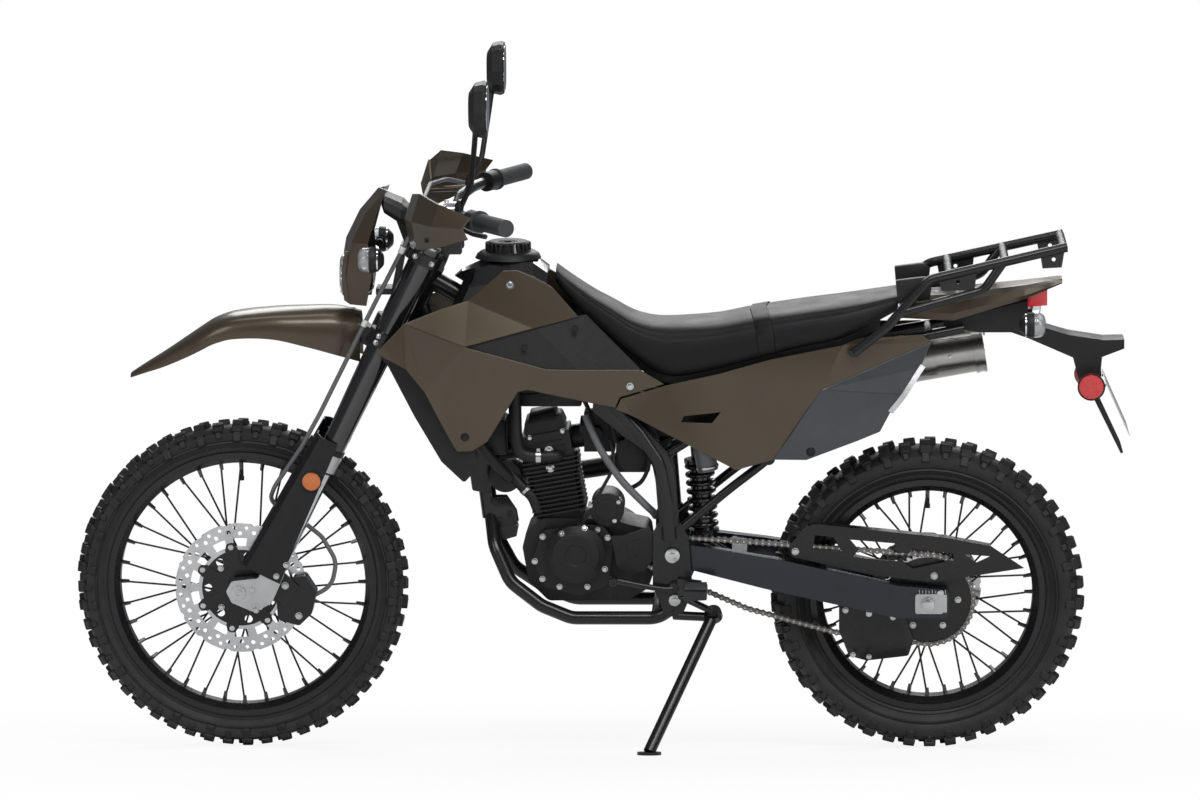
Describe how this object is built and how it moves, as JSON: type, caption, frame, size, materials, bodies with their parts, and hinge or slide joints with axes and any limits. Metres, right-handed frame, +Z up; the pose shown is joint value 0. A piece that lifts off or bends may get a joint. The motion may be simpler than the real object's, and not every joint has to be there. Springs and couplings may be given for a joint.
{
  "type": "dual sport motorcycle",
  "caption": "Dual sport motorcycle with spoked wheels, high front fender, long flat seat, tail rack and hand guards, parked on its side stand.",
  "frame": {"origin": "middle of the parked motorcycle's box at the ground", "axes": "+X to the front wheel, +Y to its left side, where the side stand is, +Z up"},
  "size_m": [2.1148, 0.852, 1.4359],
  "materials": {
    "brown_panels": "metallic khaki-brown body panels",
    "black_plastic": "black moulded plastic",
    "black_tank": "black painted tank",
    "grey_panels": "dark grey number panels",
    "black_frame": "black painted steel tube",
    "dark_alloy": "dark metallic painted alloy",
    "fork_alloy": "silver-grey alloy",
    "engine_black": "black painted engine castings",
    "steel": "bare steel",
    "black_steel": "black spokes, caliper and guards",
    "tyre_rubber": "black tyre rubber",
    "grip_rubber": "dark grey grip rubber",
    "seat_cover": "black vinyl seat cover",
    "clear_lens": "clear lamp lens",
    "red_lens": "red tail lens and reflectors",
    "blank_plate": "blank plate"
  },
  "bodies": {
    "chassis": {"main_frame": "black_frame", "swingarm": "dark_alloy", "rear_axle": "fork_alloy", "chain": "steel", "front_sprocket": "steel", "chain_guard": "black_steel", "crankcase": "engine_black", "generator_cover": "engine_black", "clutch_cover": "engine_black", "cylinder": "engine_black", "cylinder_head": "engine_black", "air_box": "black_plastic", "exhaust_header": "black_frame", "muffler": "fork_alloy", "shock_absorber": "black_frame", "shrouds": "brown_panels", "inner_panels": "black_plastic", "side_panels": "brown_panels", "number_panels": "grey_panels", "fuel_tank": "black_tank", "seat": "seat_cover", "tail_cowl": "brown_panels", "rear_under_fender": "black_plastic", "tail_lamp_and_reflectors": "red_lens", "rear_turn_signals": "black_plastic", "number_plate": "blank_plate", "luggage_rack": "black_frame", "footpegs": "dark_alloy"},
    "steering": {"fork_clamps": "black_frame", "fork_outer_tubes": "black_frame", "fork_lower_legs": "fork_alloy", "front_axle": "fork_alloy", "fork_guards": "black_plastic", "front_caliper": "black_steel", "handlebar": "black_frame", "grips": "grip_rubber", "hand_controls": "black_plastic", "hand_guards": "brown_panels", "mirrors": "black_plastic", "headlight_mask": "brown_panels", "headlamp": "clear_lens", "instrument_box": "black_plastic", "front_turn_signals": "black_plastic", "front_fender": "brown_panels", "brake_hose": "grip_rubber"},
    "front_wheel": {"front_rim": "dark_alloy", "front_tyre": "tyre_rubber", "front_hub": "dark_alloy", "front_spokes": "black_steel", "front_brake_disc": "steel"},
    "rear_wheel": {"rear_rim": "dark_alloy", "rear_tyre": "tyre_rubber", "rear_hub": "dark_alloy", "rear_spokes": "black_steel", "rear_brake_disc": "steel", "rear_sprocket": "steel"},
    "side_stand": {"side_stand": "black_frame"}
  },
  "joints": [
    {"name": "steering", "type": "hinge", "parent": "chassis", "child": "steering", "pos_m": [0.3663, -0.04431, 0.90628], "axis": [-0.4377, 0.1561, 0.8855], "range_deg": [-42, 42]},
    {"name": "front_wheel_spin", "type": "hinge", "parent": "steering", "child": "front_wheel", "pos_m": [0.72238, -0.14549, 0.33218], "axis": [-0.0001, 0.9848, -0.1736], "continuous": true},
    {"name": "rear_wheel_spin", "type": "hinge", "parent": "chassis", "child": "rear_wheel", "pos_m": [-0.65763, -0.14896, 0.31353], "axis": [-0.0001, 0.9848, -0.1736], "continuous": true},
    {"name": "side_stand_fold", "type": "hinge", "parent": "chassis", "child": "side_stand", "pos_m": [-0.22966, -0.017, 0.27267], "axis": [0.1441, 0.853, 0.5016], "range_deg": [0, 120]}
  ]
}
